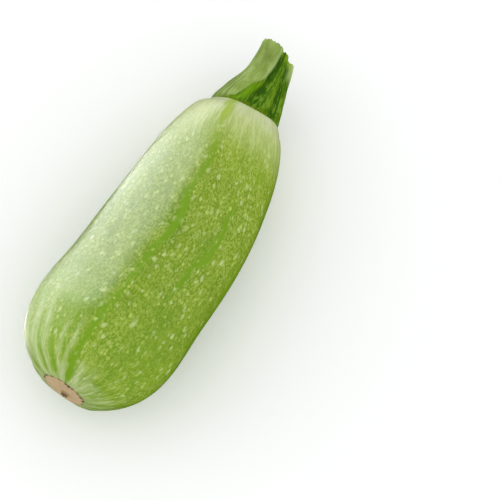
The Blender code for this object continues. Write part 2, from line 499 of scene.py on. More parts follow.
def seam_field(share, angle):
    """Sum over the seams of depth x exp(-(degrees away / width)^2) x fade."""
    total = np.zeros_like(share)
    for near, far, length, depth in SEAMS:
        t = np.clip(share / length, 0.0, 1.0)
        place = near + (far - near) * t
        fade = (1.0 - t) ** 1.4 * (0.35 + 0.65 * smooth_step(share, 0.0, 0.012))
        width = 6.5 - 2.5 * t
        total = total + depth * fade * bump_at(angle, place, width)
    return total


def ray_field(share, angle):
    """Strongest ray: strength x exp(-(degrees away / width)^2) x smooth ends."""
    strongest = np.zeros_like(share)
    for near, far, start, end, width, strength in RAYS:
        place = near + (far - near) * np.clip((share - start) / (end - start), 0.0, 1.0)
        grown = smooth_step(share, start - 0.01, start + 0.02)
        faded = 1.0 - smooth_step(share, 0.55 * end, end)
        ray = strength * grown * faded * bump_at(angle, place, width)
        strongest = np.maximum(strongest, ray)
    return strongest


def calm_field(share, angle):
    """Largest of the areas: strength x exp(-across^2 - lengthwise^2)."""
    largest = np.zeros_like(share)
    for place, middle, width, length, strength in CALM_AREAS:
        area = bump_at(angle, place, width) * np.exp(-(((share - middle) / length) ** 2))
        largest = np.maximum(largest, strength * area)
    return largest


def stripe_field(share, angle):
    """Strongest stripe: strength at the share x exp(-(degrees away / half width)^2).

    Each stripe sways and swells a little, and the first follows its own wander.
    """
    strongest = np.zeros_like(share)
    twist = ridge_twist(share)
    for number, (place, width, knots) in enumerate(STRIPES):
        sway = 0.7 * np.sin(21.0 * share + 1.7 * number) * smooth_step(share, 0.05, 0.3)
        if number == 0:
            sway = sway + between(share, TOP_WANDER)
        off = degrees_off(angle - twist, place + sway)
        half_width = width * (1.0 + 1.4 * smooth_step(share, 0.88, 0.97))
        half_width = half_width * (1.0 + 0.15 * np.sin(33.0 * share + 2.3 * number))
        band = between(share, knots) * np.exp(-((off / half_width) ** 2))
        strongest = np.maximum(strongest, band)
    return strongest


def end_slant(share, sideways, upward):
    """Forward slant of the blossom end: pitch x height over its lower rim + yaw x side.

    The height is held above zero, the side is limited, and both fade along the body.
    """
    over = upward + END_RIM
    over = 0.5 * (over + np.hypot(over, END_RIM_SOFTNESS))
    across = END_YAW_REACH * np.tanh(sideways / END_YAW_REACH)
    fade = 1.0 - smooth_step(share, 0.0, END_SHARE)
    return fade * (END_PITCH * over + END_YAW * across)


def polar(reach, angle):
    """Sideways and upward distances of points at a reach and an angle."""
    return reach * np.sin(angle), reach * np.cos(angle)


def threes(*values):
    """Three numbers for each point, from grids or single values."""
    return np.stack(np.broadcast_arrays(*values), -1)


def flow_at(radius, angle, lengthwise):
    """Coordinates that the grain follows: round the axis, then along it."""
    return threes(radius * np.cos(angle), radius * np.sin(angle), lengthwise)


def set_off(points, ways, amounts):
    """Points moved by the amounts along the forward, sideways and upward directions."""
    for way, amount in zip(ways, amounts):
        points = points + amount[..., None] * way
    return points


def cast(place, forwards, sideways, upwards):
    """Points set off from one place on the centre line, in its three directions."""
    here = np.array([place])
    ways = [way[0] for way in directions(here)]
    return set_off(centre_line(here)[0], ways, (forwards, sideways, upwards))


def end_face(depth, sideways, upward):
    """Points of the slanted blossom end, set in by the depth."""
    return cast(0.0, depth + end_slant(0.0, sideways, upward), sideways, upward)


def ring_mesh(name, rings, first_tip, last_tip):
    """Closed mesh from a grid of rings: quads between them, fans at both tips."""
    count, sides = rings.shape[:2]
    index = np.arange(count * sides).reshape(count, sides)
    beside = np.roll(index, -1, axis=1)
    quads = np.stack([index[:-1], beside[:-1], beside[1:], index[1:]], -1).reshape(-1, 4)
    first = np.full(sides, count * sides)
    last = first + 1
    fan_in = np.stack([index[0], first, beside[0]], -1)
    fan_out = np.stack([beside[-1], last, index[-1]], -1)
    points = np.concatenate([rings.reshape(-1, 3), [first_tip, last_tip]])
    corners = np.concatenate([quads.ravel(), fan_in.ravel(), fan_out.ravel()])
    sizes = np.concatenate([np.full(len(quads), 4), np.full(2 * sides, 3)])
    starts = np.concatenate([[0], np.cumsum(sizes)[:-1]])
    mesh = bpy.data.meshes.new(name)
    mesh.vertices.add(len(points))
    mesh.vertices.foreach_set("co", points.astype(np.float32).ravel())
    mesh.loops.add(len(corners))
    mesh.loops.foreach_set("vertex_index", corners.astype(np.int32))
    mesh.polygons.add(len(sizes))
    mesh.polygons.foreach_set("loop_start", starts.astype(np.int32))
    mesh.update(calc_edges=True)
    mesh.validate()
    mesh.shade_smooth()
    return mesh


def paint(mesh, name, values, last_tip):
    """Keeps three numbers at each point of a ring mesh, then zeros and the last tip's."""
    layer = mesh.attributes.new(name, "FLOAT_VECTOR", "POINT")
    rows = np.concatenate([values.reshape(-1, 3), [BARE, last_tip]])
    layer.data.foreach_set("vector", rows.astype(np.float32).ravel())


def place_piece(mesh, node, material):
    piece = bpy.data.objects.new(mesh.name, mesh)
    bpy.context.scene.collection.objects.link(piece)
    mesh.materials.append(material)
    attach(piece, "root")
    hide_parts(node)


# Pieces
def body_surface():
    """Body: radius(share) x (1 + five sides + ten ribs + slow swells) - seams.

    The seat end tilts by the seat angle, the blossom end slants and holds the scar's
    recess, and what would sink below z = 0 lies on it.
    """
    level = np.linspace(0.0, 1.0, BODY_RINGS)
    travel = level - 0.04 * np.sin(2.0 * math.pi * level)
    along, radius = body_outline(travel)
    angle = around(BODY_SIDES)
    share = np.clip(along / BODY_LENGTH, 0.0, 1.0)
    share_grid, angle_grid = np.meshgrid(share, angle, indexing="ij")
    turn = angle_grid - RIDGE_ANGLE - ridge_twist(share_grid)
    swell = waves(angle_grid, share_grid * BODY_LENGTH, BODY_SWELLS)
    inner = smooth_step(share_grid, 0.0, 0.15) * smooth_step(1.0 - share_grid, 0.0, 0.12)
    shape = 1.0 + FIVE_SIDES * np.cos(5.0 * turn) + TEN_RIBS * np.cos(10.0 * turn)
    shape = shape + swell * inner
    seams = seam_field(share_grid, angle_grid)
    reach = radius[:, None] * shape - SEAM_DEPTH * seams
    near_seat = smooth_step(share, 0.975, 1.0)
    sideways, upward = polar(reach, angle_grid)
    forwards = math.tan(SEAT_TILT) * near_seat[:, None] * sideways
    forwards = forwards + end_slant(share_grid, sideways, upward)
    ways = [way[:, None, :] for way in directions(along)]
    rings = set_off(centre_line(along)[:, None, :], ways, (forwards, sideways, upward))

    wall = end_face(RECESS_DEPTH, *polar(RECESS_RADIUS, angle))
    first_tip = end_face(RECESS_DEPTH, *AXIS)[0]
    last_tip = centre_line(np.array([BODY_LENGTH]))[0]
    seat = rings[-1] * 0.5 + last_tip * 0.5
    rings = np.concatenate([wall[None], rings, seat[None]])
    rings[..., 2] = np.maximum(rings[..., 2], 0.0)
    mesh = ring_mesh("squash_body", rings, first_tip, last_tip)

    untwisted = angle_grid - ridge_twist(share_grid)
    flow = flow_at(BODY_RADIUS, untwisted, (travel * SKIN_FLOW_LENGTH)[:, None])
    marks = threes(stripe_field(share_grid, angle_grid), seams, share_grid)
    rays = ray_field(share_grid, angle_grid)
    calm = calm_field(share_grid, angle_grid)
    off = degrees_off(angle_grid, 0.0)
    # Mask of the left side, where the light falls; the skin is painted paler there as painted light
    left = smooth_step(-off, 0.0, 30.0) * smooth_step(off, -150.0, -100.0)
    light = threes(rays, calm, left)
    for name, values, last in (
        ("skin_flow", flow, (0.0, 0.0, SKIN_FLOW_LENGTH)),
        ("skin_marks", marks, (0.0, 0.0, 1.0)),
        ("skin_light", light, BARE),
    ):
        values = np.concatenate([values[:1], values, values[-1:]])
        paint(mesh, name, values, last)
    return mesh


def stem_ridges(angle, height):
    """Sum of rounded ridges: size x exp(-(degrees away / width)^2).

    Near the foot the ridges left of the top spread out towards the left.
    """
    total = np.zeros_like(angle)
    low = 1.0 - smooth_step(height, 0.002, 0.018)
    for place, size, width in STEM_RIDGES:
        fan = RIDGE_FAN * low if -70 < place < 0 else 0.0
        total = total + size * bump_at(angle, place - fan, width)
    return total


def stem_cut_height(angle):
    """Height of the uneven cut, straight between the named places."""
    places, heights = np.array(STEM_CUT, float).T
    return np.interp(degrees_off(angle, 0.0), places, heights, period=360.0)


def stem_points(height, reach, angle):
    """Points round the stem's leaning, slightly curved line, flush with its seat."""
    lean = math.tan(STEM_LEAN) * height - STEM_BEND * (height / STEM_BEND_HEIGHT) ** 3
    settle = np.clip(1.0 - height / STEM_FOOT_HEIGHT, 0.0, 1.0)
    sideways, upward = polar(reach, angle)
    tilt = math.tan(SEAT_TILT) * (settle * sideways + lean)
    return cast(BODY_LENGTH, STEM_FOOT_GAP + height + tilt, sideways + lean, upward)


def stem_tints(angle, height, level):
    """Lobe, bright hollow and light tips, as masks with smooth edges."""
    inside = between(height, LOBE_EDGE) - degrees_off(angle, 0.0)
    lobe = smooth_step(inside, -2.0, 3.0) * bump_at(angle, -30.0, 95.0)
    low = smooth_step(0.019 - height, 0.0, 0.006)
    hollow = np.exp(-(((inside + 9.0) / 9.0) ** 2)) * low
    tips = bump_at(angle, 74.0, 17.0) * smooth_step(level, 0.66, 0.86)
    tips = tips + bump_at(angle, 200.0, 14.0) * smooth_step(level, 0.85, 0.97)
    return threes(lobe, hollow, tips)


def stem_shades(angle, height):
    """Olive patch on the lobe, painted shade in the dark lines and the groove, and a painted
    highlight along the lobe's rim.
    """
    olive = bump_at(angle, -22.0, 17.0) * np.exp(-(((height - 0.028) / 0.0045) ** 2))
    low = 1.0 - smooth_step(height, 0.010, 0.020)
    lines = sum(bump_at(angle, place, width) for place, width in LOBE_LINES)
    off = degrees_off(angle, 0.0)
    past_line = off - between(height, STEM_GROOVE)
    groove = np.exp(-((past_line / 5.5) ** 2)) * smooth_step(height, 0.002, 0.010)
    past_edge = off - between(height, LOBE_EDGE)
    # Painted highlight: a pale rim just inside the lobe's edge
    rim = np.exp(-(((past_edge + 5.0) / 4.0) ** 2)) * smooth_step(height, 0.014, 0.026)
    return threes(olive, np.clip(0.55 * lines * low + groove, 0.0, 1.0), rim)


def stem_surface():
    """Stem: profile(height) x (0.965 + ridges + fine fibres), then a dished cut."""
    angle = around(STEM_SIDES)
    level = np.linspace(0.0, 1.0, STEM_RINGS) ** 1.15
    level_grid, angle_grid = np.meshgrid(level, angle, indexing="ij")
    top = stem_cut_height(angle) + waves(angle, 0.0, CUT_TEETH)
    height = level_grid * top[None, :]
    ridges = stem_ridges(angle_grid, height)
    fibres = waves(angle_grid, height, STEM_FIBRES)
    strength = np.clip(0.25 + height / STEM_FOOT_HEIGHT, 0.0, 1.0)
    shape = STEM_SHRINK + strength * (ridges - 0.02) + fibres * (0.4 + 0.6 * strength)
    heights, radii = np.array(STEM_PROFILE).T
    reach = spline(heights, radii, height) * shape
    side_rings = stem_points(height, reach, angle_grid)

    inward = np.array(CUT_SHARES)[:, None]
    mean_top = float(np.mean(top))
    cut = mean_top + (top[None, :] - mean_top) * inward**0.6 - CUT_DISH * (1.0 - inward**2)
    cut = cut + CUT_RIPPLE * np.cos(31.0 * angle[None, :] + 40.0 * inward) * inward
    cut_reach = reach[-1][None, :] * inward * (1.0 - 0.35 * (1.0 - inward))
    cut_rings = stem_points(cut, cut_reach, np.broadcast_to(angle, cut.shape))

    foot_ring = stem_points(np.zeros_like(angle), 0.5 * reach[0], angle)
    rings = np.concatenate([foot_ring[None], side_rings, cut_rings])
    first_tip = stem_points(np.zeros(1), *AXIS)[0]
    last_tip = stem_points(np.array([mean_top - CUT_DISH]), *AXIS)[0]
    mesh = ring_mesh("squash_stem", rings, first_tip, last_tip)

    crest = np.clip(ridges / 0.14, 0.0, 1.2)
    side_marks = threes(crest, 0.0, level_grid)
    cut_marks = threes(crest[-1], 0.2 + (1.0 - inward), 1.0)
    marks = np.concatenate([side_marks[:1], side_marks, cut_marks])
    side_flow = flow_at(STEM_FLOW_RADIUS, angle_grid, height)
    cut_flow = flow_at(STEM_FLOW_RADIUS * inward, angle, STEM_FLOW_TOP)
    flow = np.concatenate([side_flow[:1], side_flow, cut_flow])
    paint(mesh, "stem_flow", flow, (0.0, 0.0, STEM_FLOW_TOP))
    bare = np.zeros(cut.shape + (3,))
    for name, values in (
        ("stem_tint", stem_tints(angle_grid, height, level_grid)),
        ("stem_shade", stem_shades(angle_grid, height)),
    ):
        values = np.concatenate([values[:1], values, bare])
        paint(mesh, name, values, BARE)
    paint(mesh, "stem_marks", marks, (0.0, 1.2, 1.0))
    return mesh


def scar_spots(across, upward, share, turn):
    """Dark spots on the rim and the nub: strongest of the round spots."""
    wide, high = NUB_SPOT
    strongest = np.exp(-(((across - NUB_ACROSS) / wide) ** 2) - ((upward / high) ** 2))
    for place, middle, width, size in SCAR_SPOTS:
        spot = bump_at(turn, place, width) * np.exp(-(((share - middle) / size) ** 2))
        strongest = np.maximum(strongest, spot)
    return strongest


def scar_surface():
    """Scar: low dome on the slanted end, its edge dipping under the skin.

    Height: dome x (1 - share^2) - dip at the edge + wrinkles + nub x exp(-away^2) - pit.
    """
    angle = around(SCAR_SIDES)
    inward = np.linspace(1.0, 0.0, SCAR_RINGS + 1)[:-1]
    share, turn = np.meshgrid(inward, angle, indexing="ij")
    reach = SCAR_RADIUS * (1.0 + waves(turn, 0.0, SCAR_EDGE_WAVES)) * share
    across, upward = polar(reach, turn)
    dome = SCAR_DOME * (1.0 - share**2)
    dip = SCAR_EDGE_DIP * smooth_step(share, 0.93, 1.0)
    wrinkles = waves(turn, share, SCAR_WRINKLES) * smooth_step(share, 0.1, 0.5)
    away = ((across - NUB_ACROSS) / NUB_WIDTH) ** 2 + (upward / NUB_LENGTH) ** 2
    pit = PIT_DEPTH * np.exp(-((np.sqrt(away) - 1.3) ** 2) / 0.12)
    nub = NUB_HEIGHT * np.exp(-(away**2))
    nub = nub * (1.0 + 0.25 * np.cos(5200.0 * across) + 0.15 * np.cos(9000.0 * upward))
    lift = dome - dip + wrinkles - pit + nub
    base = RECESS_DEPTH - SCAR_BASE_GAP
    base_ring = end_face(base, *polar(SCAR_BASE_RADIUS, angle))
    rings = np.concatenate([base_ring[None], end_face(-lift, across, upward)])
    first_tip = end_face(base, *AXIS)[0]
    last_tip = end_face(-lift[-1, :1], *AXIS)[0]
    mesh = ring_mesh("blossom_scar_disc", rings[:, ::-1], first_tip, last_tip)
    flow = flow_at(reach, turn, share)
    flow = np.concatenate([flow[:1], flow])[:, ::-1]
    paint(mesh, "scar_flow", flow, BARE)
    spots = scar_spots(across, upward, share, turn)
    marks = threes(spots, share, 0.0)
    marks = np.concatenate([marks[:1], marks])[:, ::-1]
    paint(mesh, "scar_marks", marks, (spots[-1, 0], 0.0, 0.0))
    return mesh


# Shader helpers
def feed(tree, socket, value):
    if isinstance(value, bpy.types.NodeSocket):
        tree.links.new(value, socket)
    elif isinstance(value, (tuple, list)) and len(value) == 3 and socket.type == "RGBA":
        socket.default_value = (*value, 1.0)
    else:
        socket.default_value = value


def add_node(tree, kind, values, **settings):
    """Outputs of a new node with its settings, and its inputs fed by name or number."""
    node = tree.nodes.new(kind)
    for name, setting in settings.items():
        setattr(node, name, setting)
    for socket, value in values.items():
        feed(tree, node.inputs[socket], value)
    return node.outputs


def maths(tree, operation, first, second):
    return add_node(tree, "ShaderNodeMath", {0: first, 1: second}, operation=operation)[0]


def times(tree, first, second):
    return maths(tree, "MULTIPLY", first, second)


def vector_maths(tree, operation, first, second):
    values = {0: first, 1: second}
    outputs = add_node(tree, "ShaderNodeVectorMath", values, operation=operation)
    return outputs["Value" if operation == "DOT_PRODUCT" else "Vector"]


def blend(tree, factor, first, second):
    """Colour between the first, at factor 0, and the second, at factor 1."""
    values = {0: factor, 6: first, 7: second}
    return add_node(tree, "ShaderNodeMix", values, data_type="RGBA")[2]


def blend_value(tree, factor, first, second):
    """Value between the first, at factor 0, and the second, at factor 1."""
    return add_node(tree, "ShaderNodeMix", {0: factor, 2: first, 3: second})[0]


def spread(tree, value, low, high, to_low=0.0, to_high=1.0):
    """Smooth ramp from to_low at low to to_high at high."""
    values = {
        "Value": value, "From Min": low, "From Max": high, "To Min": to_low, "To Max": to_high,
    }
    return add_node(tree, "ShaderNodeMapRange", values, interpolation_type="SMOOTHSTEP")[0]


def noise(tree, vector, scale, detail=2.0, roughness=0.5, distortion=0.0):
    values = {
        "Vector": vector, "Scale": scale, "Detail": detail, "Roughness": roughness,
        "Distortion": distortion,
    }
    return add_node(tree, "ShaderNodeTexNoise", values)["Fac"]


def cells(tree, vector, scale):
    outputs = add_node(tree, "ShaderNodeTexVoronoi", {"Vector": vector, "Scale": scale})
    return outputs["Distance"], outputs["Color"]


def attribute(tree, name):
    return add_node(tree, "ShaderNodeAttribute", {}, attribute_name=name)["Vector"]


def parts_of(tree, vector):
    return tuple(add_node(tree, "ShaderNodeSeparateXYZ", {0: vector}))


def dress(tree, surface, colour, relief, strength, distance):
    """Colour of a finish, and its fine relief as a bump."""
    values = {"Height": relief, "Strength": strength, "Distance": distance}
    normal = add_node(tree, "ShaderNodeBump", values)["Normal"]
    feed(tree, surface.inputs["Base Color"], colour)
    feed(tree, surface.inputs["Normal"], normal)


def new_group(name, **numbers):
    """Empty node group that takes a Flow and named numbers, and gives a Mask."""
    group = bpy.data.node_groups.new(name, "ShaderNodeTree")
    add_socket = group.interface.new_socket
    add_socket("Flow", in_out="INPUT", socket_type="NodeSocketVector")
    for socket_name, default in numbers.items():
        socket = add_socket(socket_name, in_out="INPUT", socket_type="NodeSocketFloat")
        socket.default_value = default
    add_socket("Mask", in_out="OUTPUT", socket_type="NodeSocketFloat")
    entry = group.nodes.new("NodeGroupInput")
    leave = group.nodes.new("NodeGroupOutput")
    return group, entry.outputs, leave.inputs["Mask"]


def use_group(tree, group, **values):
    """The mask of a group that is placed with its own values."""
    return add_node(tree, "ShaderNodeGroup", values, node_tree=group)["Mask"]


def scaled_flow(tree, flow, size, stretch):
    """Flow coordinates divided by the grain size, and by the stretch lengthwise."""
    across = maths(tree, "DIVIDE", 1.0, size)
    lengthwise = maths(tree, "DIVIDE", across, stretch)
    values = {0: across, 1: across, 2: lengthwise}
    grain = add_node(tree, "ShaderNodeCombineXYZ", values)[0]
    return vector_maths(tree, "MULTIPLY", flow, grain)


def make_mottle_group():
    """Cloudy grain cut at a level: 1 where the noise is above it, soft edges."""
    group, given, mask = new_group("mottle", Size=0.002, Stretch=1.0, Level=0.5, Softness=0.1)
    place = scaled_flow(group, given["Flow"], given["Size"], given["Stretch"])
    grain = noise(group, place, 1.0, roughness=0.55, distortion=0.35)
    low = maths(group, "SUBTRACT", given["Level"], given["Softness"])
    high = maths(group, "ADD", given["Level"], given["Softness"])
    feed(group, mask, spread(group, grain, low, high))
    return group


def make_fleck_group():
    """Scattered uneven dots: a share of the cells holds one, each its own size and tone."""
    group, given, mask = new_group("flecks", Size=0.003, Stretch=1.0, Radius=0.3, Share=0.5)
    place = scaled_flow(group, given["Flow"], given["Size"], given["Stretch"])
    wander = noise(group, place, 2.3, detail=1.0)
    offset = times(group, maths(group, "SUBTRACT", wander, 0.5), 0.6)
    shifted = vector_maths(group, "ADD", place, offset)
    distance, tint = cells(group, shifted, 1.0)
    chance, size_draw, tone_draw = parts_of(group, tint)
    held = maths(group, "LESS_THAN", chance, given["Share"])
    tone = times(group, held, spread(group, tone_draw, 0.0, 1.0, 0.45, 1.0))
    radius = times(group, given["Radius"], maths(group, "ADD", 0.55, size_draw))
    inner = times(group, radius, 0.35)
    dot = spread(group, distance, inner, radius, 1.0, 0.0)
    feed(group, mask, times(group, dot, tone))
    return group


def start_material(name, roughness):
    material = bpy.data.materials.new(name)
    material.use_nodes = True
    surface = material.node_tree.nodes["Principled BSDF"]
    surface.inputs["Roughness"].default_value = roughness
    return material, material.node_tree, surface


# Finishes
def skin_ground(tree, share, left, near_stem, patches, wisps):
    """Green under the speckles: fresher towards the blossom, riper towards the stem, and painted
    paler on the lit left side near the blossom, a painted reflection.
    """
    ground = blend(tree, patches, GROUND_DEEP, GROUND_LIGHT)
    ground = blend(tree, times(tree, wisps, 0.25), ground, GROUND_WISP)
    fresher = spread(tree, share, 0.15, 0.45, 0.38, 0.0)
    ground = blend(tree, fresher, ground, GROUND_FRESH)
    # Painted reflection: the ground on the lit left side near the blossom end is painted paler
    lit_side_paling = times(tree, left, spread(tree, share, 0.14, 0.32, 0.6, 0.0))
    ground = blend(tree, lit_side_paling, ground, GROUND_LIT_SIDE_PALE)
    riper = spread(tree, share, 0.60, 0.82, 0.0, 0.5)
    ground = blend(tree, riper, ground, GROUND_RIPE)
    return blend(tree, times(tree, near_stem, 0.7), ground, GROUND_NECK)


def skin_stripes(tree, stripe, seam, fine, wisps):
    """Mask of the clear green: stripes frayed by the speckles, and the seams."""
    fray = times(tree, maths(tree, "SUBTRACT", fine, 0.3), 0.7)
    frayed = maths(tree, "SUBTRACT", stripe, fray)
    frayed = maths(tree, "SUBTRACT", frayed, times(tree, wisps, 0.3))
    stripe_mask = spread(tree, frayed, -0.05, 1.00)
    seam_line = spread(tree, seam, 0.12, 0.60)
    return maths(tree, "MAXIMUM", stripe_mask, times(tree, seam_line, 0.8))


def pale_ends(tree, skin, share, seam, green_mask, mixed, wisps):
    """Pale wedges between the seams, and a pale shoulder and collar at the stem."""
    wedge = spread(tree, share, 0.0, 0.055, 1.0, 0.0)
    wedge = times(tree, wedge, spread(tree, seam, 0.05, 0.45, 1.0, 0.0))
    wedge = times(tree, wedge, spread(tree, wisps, 0.0, 0.9, 0.25, 0.7))
    skin = blend(tree, wedge, skin, WEDGE_PALE)
    shoulder = spread(tree, share, 0.82, 0.96)
    shoulder = times(tree, shoulder, spread(tree, green_mask, 0.1, 1.0, 1.0, 0.1))
    shoulder = times(tree, shoulder, spread(tree, mixed, 0.0, 1.0, 0.55, 0.95))
    skin = blend(tree, shoulder, skin, SHOULDER_PALE)
    collar = times(tree, spread(tree, share, 0.92, 1.0), spread(tree, wisps, 0.0, 1.0, 0.5, 0.9))
    collar = times(tree, collar, spread(tree, green_mask, 0.0, 0.9, 1.0, 0.1))
    return blend(tree, collar, skin, COLLAR_PALE)


def make_skin(mottle, flecks):
    """Waxy skin: green ground, pale speckles, clear green stripes, pale ends, and painted light that
    makes the lit left side paler.
    """
    material, tree, surface = start_material("waxy_skin", 0.4)
    flow = attribute(tree, "skin_flow")
    stripe, seam, share = parts_of(tree, attribute(tree, "skin_marks"))
    ray, calm, left = parts_of(tree, attribute(tree, "skin_light"))
    patches = use_group(tree, mottle, Flow=flow, Size=0.011, Stretch=2.2, Level=0.5, Softness=0.2)
    crowd = use_group(tree, mottle, Flow=flow, Size=0.0052, Stretch=1.8, Level=0.48, Softness=0.2)
    grain = use_group(tree, mottle, Flow=flow, Size=0.00085, Stretch=1.6, Level=0.50, Softness=0.08)
    dust = use_group(tree, flecks, Flow=flow, Size=0.0019, Stretch=1.5, Radius=0.43, Share=0.66)
    dots = use_group(tree, flecks, Flow=flow, Size=0.0032, Stretch=1.6, Radius=0.32, Share=0.75)
    blots = use_group(tree, flecks, Flow=flow, Size=0.0075, Stretch=1.8, Radius=0.145, Share=0.45)
    streaks = use_group(tree, mottle, Flow=flow, Size=0.0017, Stretch=6.0, Level=0.54, Softness=0.08)
    wisps = use_group(tree, mottle, Flow=flow, Size=0.0034, Stretch=5.0, Level=0.5, Softness=0.2)

    near_blossom = spread(tree, share, 0.01, 0.13, 1.0, 0.0)
    near_stem = spread(tree, share, 0.78, 0.96)
    near_ends = maths(tree, "MAXIMUM", near_blossom, times(tree, near_stem, 0.5))
    fine = times(tree, grain, spread(tree, crowd, 0.0, 1.0, 0.28, 0.52))
    fine = maths(tree, "MAXIMUM", fine, times(tree, dust, 0.95))
    large = maths(tree, "MAXIMUM", times(tree, dots, 0.85), blots)
    end_streaks = times(tree, streaks, spread(tree, near_blossom, 0.0, 1.0, 1.0, 0.55))
    fine = blend_value(tree, times(tree, near_ends, 0.85), fine, end_streaks)
    fine = times(tree, fine, maths(tree, "SUBTRACT", 1.0, calm))
    large = times(tree, large, spread(tree, near_stem, 0.0, 1.0, 1.0, 0.6))
    large = times(tree, large, spread(tree, calm, 0.3, 0.7, 1.0, 0.3))

    green_mask = skin_stripes(tree, stripe, seam, fine, wisps)
    keep = spread(tree, green_mask, 0.0, 1.0, 1.0, 0.2)
    fine = times(tree, fine, keep)
    large = times(tree, large, keep)
    ground = skin_ground(tree, share, left, near_stem, patches, wisps)
    # Painted light: the speckles are paler on the lit left side
    skin = blend(tree, fine, ground, blend(tree, left, SPECKLE, SPECKLE_LIT_SIDE))
    green = blend(tree, near_stem, STRIPE_GREEN, STRIPE_NECK)
    skin = blend(tree, times(tree, green_mask, 0.86), skin, green)
    pale_ray = times(tree, ray, spread(tree, streaks, 0.0, 1.0, 0.52, 1.0))
    skin = blend(tree, pale_ray, skin, RAY_PALE)
    skin = blend(tree, times(tree, large, 0.95), skin, DOT_PALE)
    mixed = maths(tree, "MAXIMUM", streaks, fine)
    skin = pale_ends(tree, skin, share, seam, green_mask, mixed, wisps)
    feed(tree, surface.inputs["Roughness"], spread(tree, fine, 0.0, 1.0, 0.32, 0.42))
    dress(tree, surface, skin, maths(tree, "ADD", fine, large), 0.5, 0.00012)
    return material


def stem_lobe(tree, cloud, thread, olive, rim):
    """Pale side of the stem, its own paler green partly painted lighter for the light that falls on
    this side: cloudy green, fine threads, an olive patch, and a painted highlight along its rim.
    """
    pale = blend(tree, cloud, LOBE_GREEN, LOBE_PALE)
    pale = blend(tree, times(tree, thread, 0.25), pale, LOBE_THREAD)
    pale = blend(tree, times(tree, olive, 0.75), pale, LOBE_OLIVE)
    # Painted highlight along the lobe's rim
    return blend(tree, times(tree, rim, 0.55), pale, LOBE_RIM_HIGHLIGHT)


def stem_pith(tree, cut, prick):
    """Cut face: green skin at the edge, pale pith, brownish hollow in the middle."""
    pith = blend(tree, spread(tree, cut, 0.25, 0.75), PITH_EDGE, PITH_PALE)
    pith = blend(tree, times(tree, prick, 0.5), pith, PITH_DOT)
    return blend(tree, spread(tree, cut, 0.9, 1.05), pith, PITH_MIDDLE)


def make_stem_finish(mottle, flecks):
    """Fibrous stem: grooves painted dark as shade, a pale lobe partly painted light, bright hollow,
    olive foot, pale pith.
    """
    material, tree, surface = start_material("fibrous_stem", 0.6)
    surface.inputs["Specular IOR Level"].default_value = 0.05
    flow = attribute(tree, "stem_flow")
    crest, cut, share = parts_of(tree, attribute(tree, "stem_marks"))
    lobe, hollow, light_tips = parts_of(tree, attribute(tree, "stem_tint"))
    olive, dark, rim = parts_of(tree, attribute(tree, "stem_shade"))
    fibre = use_group(tree, mottle, Flow=flow, Size=0.0011, Stretch=8.0, Level=0.5, Softness=0.14)
    thread = use_group(tree, mottle, Flow=flow, Size=0.0006, Stretch=12.0, Level=0.48, Softness=0.10)
    blotch = use_group(tree, mottle, Flow=flow, Size=0.0024, Stretch=5.5, Level=0.52, Softness=0.14)
    cloud = use_group(tree, mottle, Flow=flow, Size=0.0048, Stretch=1.8, Level=0.5, Softness=0.2)
    dash = use_group(tree, mottle, Flow=flow, Size=0.0008, Stretch=6.0, Level=0.56, Softness=0.08)
    prick = use_group(tree, flecks, Flow=flow, Size=0.0013, Stretch=1.8, Radius=0.34, Share=0.5)

    flank = blend(tree, blotch, FLANK_DARK, FLANK_LIGHT)
    # Painted shade: the valleys between the ridges are painted darker
    green = blend(tree, spread(tree, crest, 0.05, 0.60), VALLEY_SHADE_GREEN, flank)
    green = blend(tree, times(tree, fibre, 0.4), green, FIBRE_GREEN)
    green = blend(tree, times(tree, dash, 0.6), green, DASH_GREEN)
    green = blend(tree, times(tree, spread(tree, share, 0.86, 0.97), 0.7), green, TIP_GREEN)
    green = blend(tree, times(tree, light_tips, 0.8), green, TIP_PALE)
    fresh = blend(tree, blotch, HOLLOW_DARK, HOLLOW_LIGHT)
    green = blend(tree, times(tree, hollow, 0.9), green, fresh)
    green = blend(tree, lobe, green, stem_lobe(tree, cloud, thread, olive, rim))
    # Painted shade: the groove and the lines near the foot are painted dark
    green = blend(tree, times(tree, dark, 0.8), green, STEM_PAINTED_SHADE)
    frayed = maths(tree, "ADD", share, times(tree, fibre, 0.03))
    foot = spread(tree, frayed, 0.02, 0.09, 1.0, 0.0)
    green = blend(tree, times(tree, foot, 0.8), green, blend(tree, prick, FOOT_OLIVE, FOOT_DOT))
    pith = stem_pith(tree, cut, prick)
    green = blend(tree, spread(tree, cut, 0.05, 0.2), green, pith)
    relief = maths(tree, "SUBTRACT", times(tree, blotch, 0.5), thread)
    relief = maths(tree, "SUBTRACT", relief, fibre)
    relief = maths(tree, "ADD", relief, prick)
    dress(tree, surface, green, relief, 0.6, 0.00025)
    return material


